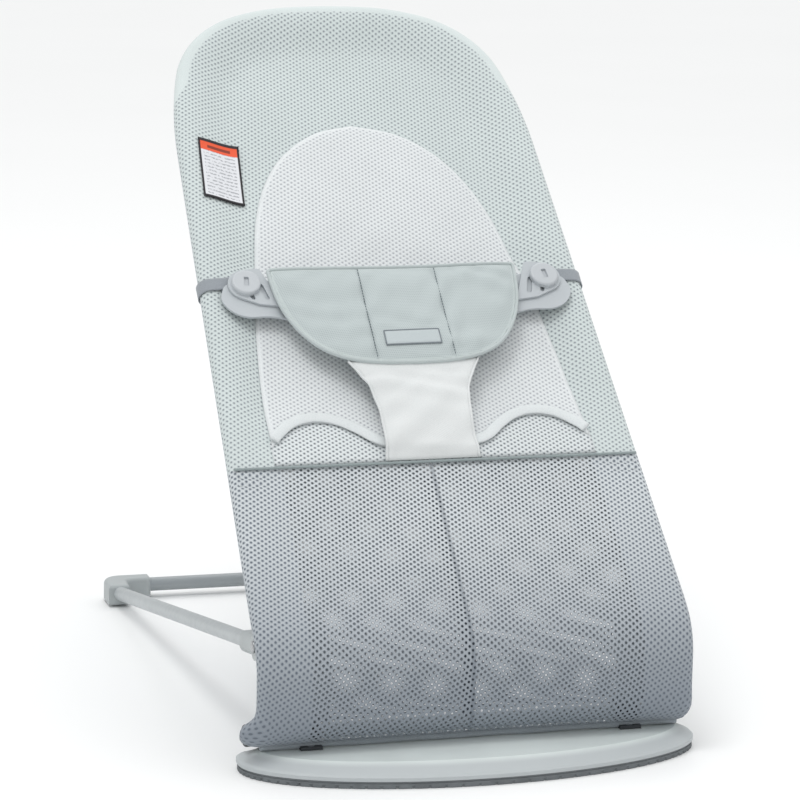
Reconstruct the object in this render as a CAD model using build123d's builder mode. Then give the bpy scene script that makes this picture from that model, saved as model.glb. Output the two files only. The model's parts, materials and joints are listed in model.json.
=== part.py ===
from build123d import *
import math
import os

# A folding baby bouncer: a moulded front plate, a spring frame that carries the fabric seat, a leg
# frame that props the seat up from behind, and a soft harness.  Millimetres, +Z up, the feet end at
# -Y, the head end at +Y.  Right and left are as seen from the feet end, so the right-hand pieces are
# at +X; every pair is drawn at +X and mirrored.

# ---------------------------------------------------------------- driving dimensions
CLEAR = 0.3                      # gap between pieces that move past each other

PLATE_HALF_WIDTH = 192.5         # front plate, a half ellipse in front of its widest line
PLATE_WIDEST_Y = -240.0
PLATE_DEPTH = 77.0
PLATE_REAR_Y = -218.0
SOLE_THICKNESS = 4.0
UNDERSIDE_TOP = 6.0
PLATE_BORDER_Z = 9.0             # top of the plate's upright edge
PLATE_TOP = 18.0

PIVOT_Y = -234.0                 # foot crossbar, about which the seat is reclined
PIVOT_Z = 28.0
LUG_X = 135.0
LUG_WIDTH = 18.0

TUBE = 6.5                       # outside radius of every frame tube
SEAT_BORE = 5.4                  # bore of the seat tubes
SPRING_BORE = 4.2                # bore of the thick-walled foot springs

SEAT_ANGLE = 41.9                # slope of the seat in its highest place
SEAT_Y = -133.4                  # a point of the seat frame's middle plane, v = 0
SEAT_Z = 216.5
SPLIT_V = -143.4                 # where the seat bounces on its foot springs
SPLIT_GAP = 1.0
HALF_WIDTH = 170.0               # seat tube's distance from the middle at v = 0
SIDE_LEAN = 2.18                 # side tubes lean inwards, degrees
ARCH_V = 350.0                   # where the side tubes end and the head arch begins
ARCH_BENDS = ((409.4, 12.26), (92.8, 54.77), (180.8, 17.19))   # radius and turn, outside in

FOOT_FRONT_Y = -262.0            # foremost line of the foot springs
UPPER_BEND = 46.0
LOWER_BEND = 24.0

HUB_Y = -224.0                   # pivot between foot springs and legs
HUB_Z = 98.0
HUB_X = 167.0
HUB_WIDTH = 19.0
HUB_RADIUS = 11.0
PIN_RADIUS = 3.0
LEG_END_X = 183.0                # the legs spread towards the rear
CROSSBAR_Y = 309.0               # rear crossbar, on the floor
CROSSBAR_Z = 12.0
LEG_END_Y = 281.0
CORNER_FRONT_Y = 276.0
CORNER_REAR_Y = 317.0
CORNER_SIDE_X = 194.0
CORNER_INNER_X = 148.0
PAD_THICKNESS = 2.5

FABRIC = 1.6                     # thickness of one fabric layer
SLEEVE = 0.4                     # fabric's distance from the tube inside it
COVER_GROW = 3.0                 # flat fabric's edge outside the tube's middle line
PAD_TOP = 10.0                   # insert pad's top above the frame's middle plane
POCKET_SEAM_V = 2.0

HINGE_V = 4.0                    # harness folds at the pocket seam
HINGE_W = 13.0
BELT_TOP_V = 202.0
BELT_HALF_WIDTH = 112.0
BELT_THICKNESS = 5.0
BUTTON_U = 133.0
BUTTON_V = 188.0

# ---------------------------------------------------------------- working planes
SLOPE_COS = math.cos(math.radians(SEAT_ANGLE))
SLOPE_SIN = math.sin(math.radians(SEAT_ANGLE))
SEAT_ORIGIN = (0, SEAT_Y, SEAT_Z)
ALONG_SEAT = (0, SLOPE_COS, SLOPE_SIN)
OUT_OF_SEAT = (0, -SLOPE_SIN, SLOPE_COS)

# local x is the width u, local y runs up the seat v, height above it is w
SEAT = Plane(origin=SEAT_ORIGIN, x_dir=(1, 0, 0), z_dir=OUT_OF_SEAT)
# local x is v and local y is w, seen from the side
SEAT_SIDE = Plane(origin=SEAT_ORIGIN, x_dir=ALONG_SEAT, z_dir=(1, 0, 0))


def seat_cross(v):
    """Plane across the seat at v: local x is u, local y is w, extruding runs down the seat."""
    origin = Vector(SEAT_ORIGIN) + Vector(ALONG_SEAT) * v
    return Plane(origin=origin, x_dir=(1, 0, 0), z_dir=Vector(ALONG_SEAT) * -1)


def keep(piece, name):
    """Label a finished piece and write its STEP file."""
    piece.part.label = name
    export_step(piece.part, "parts/" + name + ".step")


def keep_pair(piece, name):
    """Write a piece drawn at +X and its mirror image at -X."""
    keep(piece, name + "_right")
    with BuildPart() as twin:
        mirror(piece.part, about=Plane.YZ)
    keep(twin, name + "_left")


def swept_tube(wire, outer, bore=0.0):
    """Round tube or rod along one wire."""
    with BuildPart() as piece:
        with BuildSketch(Plane(wire @ 0, z_dir=wire % 0)):
            Circle(outer)
            if bore:
                Circle(bore, mode=Mode.SUBTRACT)
        sweep(path=wire)
    return piece


def cross_rod(x_from, x_to, y, z, outer, bore=0.0):
    """Straight rod or tube along X."""
    with BuildPart() as piece:
        with BuildSketch(Plane(origin=(x_from, y, z), x_dir=(0, 1, 0), z_dir=(1, 0, 0))):
            Circle(outer)
            if bore:
                Circle(bore, mode=Mode.SUBTRACT)
        extrude(amount=x_to - x_from)
    return piece


# ---------------------------------------------------------------- front plate
def plate_line(inset):
    """Closed plate outline inside an open BuildLine: half ellipse, short flanks, straight rear."""
    half = PLATE_HALF_WIDTH - inset
    depth = PLATE_DEPTH - inset
    rear = PLATE_REAR_Y - inset
    front = EllipticalCenterArc((0, PLATE_WIDEST_Y), half, depth, start_angle=180, arc_size=180)
    flank = 16.0
    right = Spline(
        (half, PLATE_WIDEST_Y),
        (half - flank * 0.9, rear),
        tangents=((0, 1), (-1, 0)),
    )
    left = Spline(
        (-half + flank * 0.9, rear),
        (-half, PLATE_WIDEST_Y),
        tangents=((-1, 0), (0, -1)),
    )
    Line(right @ 1, left @ 0)
    return front


def build_plate():
    # straight wall, rounded shoulder, sloping border and a flat top
    steps = ((UNDERSIDE_TOP, 0.0), (PLATE_BORDER_Z, 0.0), (PLATE_BORDER_Z + 1.8, 1.8), (PLATE_TOP, 16.0))
    with BuildPart() as plate_shell:
        for low, high in zip(steps, steps[1:]):
            for z, inset in (low, high):
                with BuildSketch(Plane.XY.offset(z)):
                    with BuildLine():
                        plate_line(inset)
                    make_face()
            loft(ruled=True)
    keep(plate_shell, "plate_shell")

    with BuildPart() as plate_underside:
        with BuildSketch(Plane.XY.offset(SOLE_THICKNESS)):
            with BuildLine():
                plate_line(1.5)
            make_face()
        extrude(amount=UNDERSIDE_TOP - SOLE_THICKNESS)
    keep(plate_underside, "plate_underside")

    # the sole is a serrated rubber ring under the rim
    tooth = 1.6
    teeth = 44
    with BuildPart() as plate_sole:
        with BuildSketch():
            with BuildLine():
                plate_line(0.8)
            make_face()
            with BuildLine():
                plate_line(20.0)
            make_face(mode=Mode.SUBTRACT)
        extrude(amount=SOLE_THICKNESS)
        with BuildSketch():
            for index in range(1, teeth):
                angle = math.pi + math.pi * index / teeth
                x = PLATE_HALF_WIDTH * math.cos(angle)
                y = PLATE_WIDEST_Y + PLATE_DEPTH * math.sin(angle)
                with Locations((x, y)):
                    Circle(tooth)
        extrude(amount=SOLE_THICKNESS * 0.6, mode=Mode.SUBTRACT)
    keep(plate_sole, "plate_sole")
    return plate_shell.part


def build_hinge_clamps(plate_shell):
    """Two clamps on the plate that carry the foot crossbar, with a snap slot at the rear."""
    foot_half = 15.0
    foot_height = 3.0
    lug_radius = 10.5
    base = PLATE_BORDER_Z
    screw_y = PIVOT_Y - 15.0
    with BuildPart() as clamp:
        with BuildSketch(Plane.YZ.offset(LUG_X - LUG_WIDTH / 2)):
            with Locations((PIVOT_Y, PIVOT_Z)):
                Circle(lug_radius)
            with Locations((PIVOT_Y, (base + PIVOT_Z) / 2)):
                Rectangle(2 * lug_radius, PIVOT_Z - base)
            with Locations((PIVOT_Y - 4.0, (base + PLATE_TOP + foot_height) / 2)):
                Rectangle(2 * foot_half, PLATE_TOP + foot_height - base)
            with Locations((PIVOT_Y, PIVOT_Z)):
                Circle(TUBE + 0.05, mode=Mode.SUBTRACT)
        extrude(amount=LUG_WIDTH)
        add(plate_shell, mode=Mode.SUBTRACT)
        with Locations(Plane(origin=(LUG_X, screw_y, PLATE_TOP + foot_height))):
            CounterSinkHole(radius=1.6, counter_sink_radius=3.0, depth=foot_height)
    keep_pair(clamp, "hinge_clamp")

    head = 1.0
    with BuildPart() as screws:
        for side in (-1, 1):
            seat = Plane(origin=(side * LUG_X, screw_y, PLATE_TOP))
            with BuildSketch(seat):
                Circle(1.5)
            extrude(amount=foot_height - head - 0.1)
            with BuildSketch(seat.offset(foot_height - head - 0.1)):
                Circle(1.7)
            with BuildSketch(seat.offset(foot_height - 0.1)):
                Circle(2.7)
            loft()
    keep(screws, "clamp_screws")


# ---------------------------------------------------------------- lower frame
def half_width_at(v):
    return HALF_WIDTH - v * math.tan(math.radians(SIDE_LEAN))


FOOT_X = half_width_at(SPLIT_V)
SPLIT_POINT = (SEAT_Y + SPLIT_V * SLOPE_COS, SEAT_Z + SPLIT_V * SLOPE_SIN)


def foot_line(grow=0.0, end_turn=90.0, start_gap=SPLIT_GAP):
    """Draw the foot end's side view: down the seat's slope, round the front and back to the pivot.

    Local x is Y and local y is Z.  grow moves the line outwards, to the front, and end_turn is how
    far the lower bend runs.  Returns the line's two ends.
    """
    start = (
        SPLIT_POINT[0] - SLOPE_COS * start_gap - SLOPE_SIN * grow,
        SPLIT_POINT[1] - SLOPE_SIN * start_gap + SLOPE_COS * grow,
    )
    bend_y = FOOT_FRONT_Y - grow + (UPPER_BEND + grow) * (1 - SLOPE_SIN)
    bend_z = start[1] + (bend_y - start[0]) * SLOPE_SIN / SLOPE_COS
    run = Line(start, (bend_y, bend_z))
    upper = JernArc(start=run @ 1, tangent=run % 1, radius=UPPER_BEND + grow, arc_size=90 - SEAT_ANGLE)
    drop = Line(upper @ 1, (FOOT_FRONT_Y - grow, PIVOT_Z + LOWER_BEND))
    under = JernArc(start=drop @ 1, tangent=drop % 1, radius=LOWER_BEND + grow, arc_size=end_turn)
    return run @ 0, under @ 1


def spring_wire():
    """Middle line of the +X foot spring."""
    with BuildLine(Plane.YZ.offset(FOOT_X)) as line:
        foot_line()
    return line.wires()[0]


def build_foot_springs():
    keep_pair(swept_tube(spring_wire(), TUBE, SPRING_BORE), "foot_spring")

    # the flexing core leaves the spring's top end and sits loosely in the seat tube
    core_in = 8.5
    core_out = 9.0
    with BuildLine(Plane.YZ.offset(FOOT_X)) as core_line:
        Line(
            (SPLIT_POINT[0] - SLOPE_COS * core_in, SPLIT_POINT[1] - SLOPE_SIN * core_in),
            (SPLIT_POINT[0] + SLOPE_COS * core_out, SPLIT_POINT[1] + SLOPE_SIN * core_out),
        )
    core = swept_tube(core_line.wires()[0], SPRING_BORE)
    keep_pair(core, "flex_core")


def build_foot_crossbar():
    rod_half = FOOT_X - 9.0
    crossbar = cross_rod(-rod_half, rod_half, PIVOT_Y, PIVOT_Z, TUBE, 5.0)
    keep(crossbar, "foot_crossbar")

    # dark knuckles join the crossbar to the foot springs
    knuckle_radius = 9.0
    with BuildPart() as knuckle:
        with BuildSketch(Plane.YZ.offset(FOOT_X - 16.0)):
            with Locations((PIVOT_Y, PIVOT_Z)):
                Circle(knuckle_radius)
        extrude(amount=27.5)
        fillet(knuckle.edges().filter_by(GeomType.CIRCLE), radius=2.0)
        with BuildSketch(Plane.YZ.offset(FOOT_X - 16.0)):
            with Locations((PIVOT_Y, PIVOT_Z)):
                Circle(TUBE)
        extrude(amount=7.0, mode=Mode.SUBTRACT)
        add(swept_tube(spring_wire(), TUBE + 0.05).part, mode=Mode.SUBTRACT)
    keep_pair(knuckle, "end_knuckle")


CHEEK_THICKNESS = 6.0
CHEEK_X = HUB_X - HUB_WIDTH / 2 - CLEAR - CHEEK_THICKNESS


def build_brackets():
    """Brackets fixed to the foot springs' inner sides, with cheeks that carry the leg pivots."""
    block_to = FOOT_X - TUBE - 0.1
    screw_places = ((FOOT_FRONT_Y + 1.0, 82.0), (FOOT_FRONT_Y + 4.5, 98.0))
    with BuildPart() as bracket:
        with BuildSketch(Plane.YZ.offset(CHEEK_X)):
            with BuildLine():
                Polyline(
                    (FOOT_FRONT_Y - 5.0, 74.0),
                    (FOOT_FRONT_Y + 7.0, 74.0),
                    (HUB_Y + 8.0, HUB_Z - 9.0),
                    (HUB_Y + 8.0, HUB_Z + 7.0),
                    (HUB_Y - 16.0, HUB_Z + 9.0),
                    (FOOT_FRONT_Y + 2.0, 106.0),
                    close=True,
                )
            make_face()
            fillet(vertices(), radius=3.5)
            with Locations((HUB_Y, HUB_Z)):
                Circle(PIN_RADIUS, mode=Mode.SUBTRACT)
        extrude(amount=CHEEK_THICKNESS)
        with BuildSketch(Plane.YZ.offset(CHEEK_X + CHEEK_THICKNESS)):
            with BuildLine():
                Polyline(
                    (FOOT_FRONT_Y - 4.0, 75.0),
                    (FOOT_FRONT_Y + 6.0, 75.0),
                    (FOOT_FRONT_Y + 11.0, 105.0),
                    (FOOT_FRONT_Y + 1.0, 105.0),
                    close=True,
                )
            make_face()
        extrude(amount=block_to - CHEEK_X - CHEEK_THICKNESS)
        with BuildSketch(Plane.YZ.offset(CHEEK_X)):
            with Locations(*screw_places):
                Circle(1.6)
        extrude(amount=block_to - CHEEK_X, mode=Mode.SUBTRACT)
    keep_pair(bracket, "side_bracket")

    head = 1.6
    with BuildPart() as screws:
        for side in (-1, 1):
            for y, z in screw_places:
                face = Plane(origin=(side * CHEEK_X, y, z), x_dir=(0, 1, 0), z_dir=(side, 0, 0))
                with BuildSketch(face.offset(-head)):
                    Circle(3.0)
                extrude(amount=head)
                with BuildSketch(face):
                    Circle(1.6)
                extrude(amount=block_to - CHEEK_X)
    keep(screws, "bracket_screws")

    # spring pawls on the brackets; their noses reach for the notches of the leg hubs
    nose_gap = 0.8
    pawl_depth = 6.0
    with BuildPart() as pawls:
        for side in (-1, 1):
            face = Plane(
                origin=(side * (CHEEK_X + CHEEK_THICKNESS), HUB_Y - HUB_RADIUS - nose_gap, HUB_Z),
                x_dir=(0, 1, 0),
                z_dir=(side, 0, 0),
            )
            with BuildSketch(face):
                with BuildLine():
                    Polyline(
                        (0, 1.2), (0, -1.2), (-4.0, -3.0), (-7.0, -3.0), (-7.0, 3.0), (-4.0, 3.0),
                        close=True,
                    )
                make_face()
            extrude(amount=pawl_depth)
    keep(pawls, "position_pawls")


# ---------------------------------------------------------------- leg frame
LEG_START = Vector(HUB_X, HUB_Y, HUB_Z)
LEG_END = Vector(LEG_END_X, LEG_END_Y, CROSSBAR_Z)
LEG_LENGTH = (LEG_END - LEG_START).length
LEG_DIRECTION = (LEG_END - LEG_START).normalized()


def leg_plane(distance):
    """Plane across a leg tube at a distance from the pivot, facing the rear."""
    return Plane(origin=LEG_START + LEG_DIRECTION * distance, z_dir=LEG_DIRECTION)


def build_leg_hubs():
    hub_inner_x = HUB_X - HUB_WIDTH / 2
    socket_from = 6.0
    socket_to = 46.0
    tube_from = 16.0
    notch = 1.6
    with BuildPart() as hub:
        with BuildSketch(Plane.YZ.offset(hub_inner_x)):
            with Locations((HUB_Y, HUB_Z)):
                Circle(HUB_RADIUS)
        extrude(amount=HUB_WIDTH)
        with BuildSketch(leg_plane(socket_from)):
            RectangleRounded(18.0, 18.0, radius=6.0)
        extrude(amount=socket_to - socket_from)
        # three notches hold the play, rest and sleep places
        with BuildSketch(Plane.YZ.offset(hub_inner_x)):
            with Locations((HUB_Y, HUB_Z)):
                with PolarLocations(HUB_RADIUS, 3, start_angle=154, angular_range=26):
                    Circle(notch)
        extrude(amount=6.5, mode=Mode.SUBTRACT)
        with BuildSketch(leg_plane(tube_from)):
            Circle(TUBE)
        extrude(amount=socket_to, mode=Mode.SUBTRACT)
        with BuildSketch(Plane.YZ.offset(hub_inner_x - 1)):
            with Locations((HUB_Y, HUB_Z)):
                Circle(PIN_RADIUS + 0.05)
        extrude(amount=40, mode=Mode.SUBTRACT)
    keep_pair(hub, "leg_hub")

    # the pin is fast in the cheek plate and the hub turns on it
    grip = HUB_X + HUB_WIDTH / 2 + CLEAR - CHEEK_X
    with BuildPart() as pin:
        pin_face = Plane(origin=(CHEEK_X, HUB_Y, HUB_Z), x_dir=(0, 1, 0), z_dir=(1, 0, 0))
        with BuildSketch(pin_face.offset(-2.0)):
            Circle(5.0)
        extrude(amount=2.0)
        with BuildSketch(pin_face):
            Circle(PIN_RADIUS)
        extrude(amount=grip)
        with BuildSketch(pin_face.offset(grip)):
            Circle(5.0)
        extrude(amount=1.6)
        fillet(pin.edges().sort_by(Axis.X)[-1], radius=1.0)
    keep_pair(pin, "pivot_pin")

    with BuildPart() as leg_tube:
        with BuildSketch(leg_plane(tube_from)):
            Circle(TUBE)
            Circle(5.2, mode=Mode.SUBTRACT)
        extrude(amount=LEG_LENGTH - tube_from)
    keep_pair(leg_tube, "leg_tube")


def build_corner_feet():
    """Moulded elbows that join the leg tubes to the rear crossbar."""
    height_low = PAD_THICKNESS
    height_high = 21.0
    arm = 20.0
    crossbar_end = 176.0
    crossbar = cross_rod(-crossbar_end, crossbar_end, CROSSBAR_Y, CROSSBAR_Z, TUBE, 5.2)
    keep(crossbar, "rear_crossbar")

    with BuildPart() as corner_foot:
        with BuildSketch(Plane.XY.offset(height_low)):
            with BuildLine():
                Polyline(
                    (CORNER_INNER_X, CORNER_REAR_Y),
                    (CORNER_SIDE_X, CORNER_REAR_Y),
                    (CORNER_SIDE_X, CORNER_FRONT_Y),
                    (CORNER_SIDE_X - arm, CORNER_FRONT_Y),
                    (CORNER_SIDE_X - arm - 2.0, CORNER_REAR_Y - arm + 3.0),
                    (CORNER_INNER_X, CORNER_REAR_Y - arm + 3.0),
                    close=True,
                )
            make_face()
            fillet(vertices().sort_by(Axis.X)[-2:].sort_by(Axis.Y)[-1], radius=17.0)
            fillet(vertices().group_by(Axis.Y)[1], radius=6.0)
        extrude(amount=height_high - height_low)
        fillet(corner_foot.faces().sort_by(Axis.Z)[-1].edges(), radius=4.0)
        crossbar_face = Plane(
            origin=(CORNER_INNER_X, CROSSBAR_Y, CROSSBAR_Z), x_dir=(0, 1, 0), z_dir=(1, 0, 0)
        )
        with BuildSketch(crossbar_face):
            Circle(TUBE)
        extrude(amount=crossbar_end - CORNER_INNER_X, mode=Mode.SUBTRACT)
        with BuildSketch(leg_plane(LEG_LENGTH - 30.0)):
            Circle(TUBE)
        extrude(amount=30.0, mode=Mode.SUBTRACT)
    keep_pair(corner_foot, "corner_foot")

    with BuildPart() as foot_pad:
        with BuildSketch():
            with Locations(((CORNER_INNER_X + CORNER_SIDE_X) / 2 + 1.0, CROSSBAR_Y - 1.0)):
                RectangleRounded(36.0, 12.0, radius=4.0)
        extrude(amount=PAD_THICKNESS)
    keep_pair(foot_pad, "foot_pad")


# ---------------------------------------------------------------- seat frame
def frame_line(v_from, grow=0.0):
    """Draw the seat frame's middle line, or a line parallel to it, from +X over the head to -X."""
    lean = math.radians(SIDE_LEAN)
    arch_u = half_width_at(ARCH_V) + grow * math.cos(lean)
    arch_v = ARCH_V + grow * math.sin(lean)
    last = Line((arch_u + (arch_v - v_from) * math.tan(lean), v_from), (arch_u, arch_v))
    for radius, turn in ARCH_BENDS:
        last = JernArc(start=last @ 1, tangent=last % 1, radius=radius + grow, arc_size=turn)
    crown_turn = 90.0 - SIDE_LEAN - sum(turn for _, turn in ARCH_BENDS)
    crown_radius = (last @ 1).X / math.sin(math.radians(crown_turn))
    JernArc(start=last @ 1, tangent=last % 1, radius=crown_radius, arc_size=crown_turn)
    mirror(about=Plane.YZ)


def side_wire(v_from, v_to):
    """Straight stretch of the seat frame's +X side."""
    with BuildLine(SEAT) as line:
        Line((half_width_at(v_from), v_from), (half_width_at(v_to), v_to))
    return line.wires()[0]


def build_seat_frame():
    side_end = ARCH_V - 4.0
    sleeve_half = 20.0
    keep_pair(swept_tube(side_wire(SPLIT_V + SPLIT_GAP, side_end), TUBE, SEAT_BORE), "seat_side_tube")
    with BuildLine(SEAT) as arch_line:
        frame_line(side_end)
    keep(swept_tube(arch_line.wires()[0], TUBE, SEAT_BORE), "head_arch_tube")
    sleeve = swept_tube(side_wire(side_end - sleeve_half, side_end + 3.0), SEAT_BORE, 3.6)
    keep_pair(sleeve, "arch_sleeve")


# ---------------------------------------------------------------- seat fabric
def cover_sheet(w_from, thickness, v_from, v_to=1000.0, grow=COVER_GROW):
    """Flat closed solid of one fabric layer on the seat frame between two heights."""
    with BuildPart() as sheet:
        with BuildSketch(SEAT.offset(w_from)):
            with BuildLine() as edge:
                frame_line(v_from, grow)
                Line(edge.vertices().sort_by(Axis.Y)[0], edge.vertices().sort_by(Axis.Y)[1])
            make_face()
            if v_to < 1000.0:
                with Locations((0, v_to + 300)):
                    Rectangle(500, 600, mode=Mode.SUBTRACT)
        extrude(amount=thickness)
    return sheet


def foot_sheet(grow, end_turn, half_width):
    """Fabric layer that follows the foot springs' curve across the width."""
    seam_gap = SPLIT_GAP + 0.6
    with BuildPart() as sheet:
        with BuildSketch(Plane.YZ.offset(-half_width)):
            with BuildLine():
                near = foot_line(grow, end_turn, seam_gap)
                far = foot_line(grow + FABRIC, end_turn, seam_gap)
                Line(near[0], far[0])
                Line(near[1], far[1])
            make_face()
        extrude(amount=2 * half_width)
    return sheet


def build_fabric():
    layer = TUBE + SLEEVE
    seam = 0.6
    hem_radius = 2.0
    hem_turn = 66.0
    keep(cover_sheet(layer, FABRIC, POCKET_SEAM_V), "seat_cover_front")
    keep(cover_sheet(-layer - FABRIC, FABRIC, SPLIT_V + SPLIT_GAP + seam), "seat_cover_back")
    pocket = cover_sheet(layer, FABRIC, SPLIT_V + SPLIT_GAP + seam, POCKET_SEAM_V - seam)
    keep(pocket, "pocket_panel")
    keep(foot_sheet(layer, 60.0, FOOT_X + COVER_GROW), "foot_cover_front")
    keep(foot_sheet(-layer - FABRIC, 60.0, CHEEK_X - 2.6), "foot_cover_back")

    hem_reach = LOWER_BEND + layer + FABRIC / 2
    hem_y = FOOT_FRONT_Y + LOWER_BEND - hem_reach * math.cos(math.radians(hem_turn))
    hem_z = PIVOT_Z + LOWER_BEND - hem_reach * math.sin(math.radians(hem_turn))
    hem_half = FOOT_X - TUBE - 1.0
    keep(cross_rod(-hem_half, hem_half, hem_y, hem_z, hem_radius), "foot_hem")


def build_insert():
    """Padded oval insert sewn on the cover's front, with leg cut-outs at its lower edge."""
    with BuildPart() as insert:
        with BuildSketch(SEAT.offset(TUBE + SLEEVE + FABRIC)):
            with BuildLine():
                side = Spline(
                    (0, 379), (38, 369), (70, 344), (92, 310), (107, 270),
                    (117, 215), (131, 115), (137, 45), (137, 20),
                    tangents=((1, 0), (0, -1)),
                )
                pad = Spline((137, 20), (92, 50), (48, 16), tangents=((-1, 1), (-0.8, -1)))
                Line(pad @ 1, (0, 16))
                Line(side @ 0, (0, 16))
            make_face()
            mirror(about=Plane.YZ)
        extrude(amount=PAD_TOP - TUBE - SLEEVE - FABRIC)
    keep(insert, "seat_insert")


def build_seat_trim():
    """Strap sockets, elastic straps and the sewn-in care label on the cover's front."""
    face = SEAT.offset(TUBE + SLEEVE + FABRIC)
    with BuildPart() as socket:
        with BuildSketch(face):
            with Locations((BUTTON_U, BUTTON_V)):
                Circle(10.0)
                Circle(4.2, mode=Mode.SUBTRACT)
        extrude(amount=1.4)
    keep_pair(socket, "strap_socket")

    with BuildPart() as strap:
        with BuildSketch(face):
            with Locations((158.0, BUTTON_V + 4.0)):
                Rectangle(22.0, 12.0)
        extrude(amount=1.2)
    keep_pair(strap, "elastic_strap")

    with BuildPart() as label:
        with BuildSketch(face):
            with Locations(Location((-129.5, 323.0), -4.5)):
                RectangleRounded(38.0, 68.0, radius=1.0)
        extrude(amount=0.6)
    keep(label, "care_label")


# ---------------------------------------------------------------- harness
BELT_EDGE_W = 15.4               # belt's inner face at its ends, above the frame plane
BELT_MIDDLE_W = 23.0             # and at its middle
WING_UPPER_W = 12.8
WING_LOWER_W = 10.3
WING_THICKNESS = 2.2
STEM_RADIUS = 3.4


def bowed_panel(lift, thickness, half_width, v_top, length):
    """Panel bowed across the width, its inner face lifted from the belt's inner face."""
    rise = (BELT_MIDDLE_W - BELT_EDGE_W) * (half_width / BELT_HALF_WIDTH) ** 2
    middle = BELT_MIDDLE_W + lift
    with BuildPart() as panel:
        with BuildSketch(seat_cross(v_top)):
            with BuildLine():
                inner = ThreePointArc(
                    (-half_width, middle - rise),
                    (0, middle),
                    (half_width, middle - rise),
                )
                outer = ThreePointArc(
                    (-half_width, middle - rise + thickness),
                    (0, middle + thickness),
                    (half_width, middle - rise + thickness),
                )
                Line(inner @ 0, outer @ 0)
                Line(inner @ 1, outer @ 1)
            make_face()
        extrude(amount=length)
    return panel


def build_belt():
    with BuildPart() as belt:
        add(bowed_panel(0.0, BELT_THICKNESS, BELT_HALF_WIDTH, BELT_TOP_V, 116.0))
        with BuildSketch(SEAT):
            with BuildLine():
                edge = Spline((0, 194), (60, 196.5), (110, 201), tangents=((1, 0), (1, 0.1)))
                side = Spline(
                    (110, 201), (104.5, 160), (84, 118), (56, 97.5), (0, 91.5),
                    tangents=((0, -1), (-1, 0)),
                )
                Line(side @ 1, edge @ 0)
            make_face()
            mirror(about=Plane.YZ)
        extrude(amount=60, mode=Mode.INTERSECT)
    keep(belt, "belt_panel")
    keep(bowed_panel(BELT_THICKNESS + 0.2, 0.8, 24.0, 123.0, 15.0), "belt_patch")


def build_crotch_strap():
    thickness = 3.0
    v_from = HINGE_V + 2.0
    w_to = BELT_MIDDLE_W - 1.0
    with BuildPart() as strap:
        with BuildSketch(SEAT_SIDE.offset(-70)):
            with BuildLine():
                lower = ThreePointArc((v_from, HINGE_W), (52, 17.6), (100, w_to))
                upper = ThreePointArc(
                    (v_from, HINGE_W + thickness), (52, 17.6 + thickness), (100, w_to + thickness)
                )
                Line(lower @ 0, upper @ 0)
                Line(lower @ 1, upper @ 1)
            make_face()
        extrude(amount=140)
        with BuildSketch(SEAT):
            with BuildLine():
                side = Spline((40, 0), (38.5, 37), (42, 70), (55, 94.2), tangents=((0, 1), (0.8, 1)))
                top = Spline((55, 94.2), (26, 90.0), (0, 89.4), tangents=((-1, -0.3), (-1, 0)))
                Polyline(top @ 1, (0, 0), side @ 0)
            make_face()
            mirror(about=Plane.YZ)
        extrude(amount=60, mode=Mode.INTERSECT)
    keep(strap, "crotch_strap")


def at_button(x, y):
    """Seat point placed from the middle of the right-hand button."""
    return (BUTTON_U + x, BUTTON_V + y)


def build_wing():
    """Moulded wing with a round end about its button and two keyhole slots for the button's stem."""
    with BuildPart() as wing:
        with BuildSketch(SEAT.offset(WING_UPPER_W)):
            with BuildLine():
                Polyline(
                    at_button(-9.0, 17.2), at_button(-14.5, 16.6), at_button(-29.5, -24.5),
                    at_button(-9.0, -21.3), at_button(6.0, -14.2),
                )
                ThreePointArc(at_button(6.0, -14.2), at_button(15.2, 1.0), at_button(2.0, 15.2))
                Line(at_button(2.0, 15.2), at_button(-9.0, 17.2))
            make_face()
            fillet(vertices().sort_by(Axis.Y)[-2:], radius=2.5)
            with Locations(at_button(0, 0)):
                Circle(STEM_RADIUS + 0.1, mode=Mode.SUBTRACT)
            with Locations(Location(at_button(-14.4, -8.4), 75.0)):
                SlotOverall(18.0, 4.4, mode=Mode.SUBTRACT)
            with Locations(Location(at_button(-3.6, -12.6), 72.0)):
                SlotOverall(8.0, 3.6, mode=Mode.SUBTRACT)
        extrude(amount=WING_THICKNESS)
    keep_pair(wing, "belt_wing")


def build_wing_backing():
    """Soft-edged lobe behind the wing, running in under the belt."""
    with BuildPart() as backing:
        with BuildSketch(SEAT.offset(WING_LOWER_W)):
            with BuildLine():
                lobe = Spline(
                    at_button(-36.0, -38.5), at_button(-25.0, -34.6), at_button(-12.0, -32.8),
                    at_button(3.0, -32.6), at_button(12.0, -29.0), at_button(19.5, -21.5),
                    at_button(22.5, -12.0), at_button(20.0, -3.0), at_button(12.0, 4.0),
                    tangents=((1, 0.5), (-1, 0.4)),
                )
                Polyline(lobe @ 1, at_button(-8.0, 8.0), at_button(-26.0, 4.0), lobe @ 0)
            make_face()
            with Locations(at_button(0, 0)):
                Circle(STEM_RADIUS + 0.1, mode=Mode.SUBTRACT)
        extrude(amount=WING_THICKNESS)
    keep_pair(backing, "belt_wing_backing")


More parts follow.
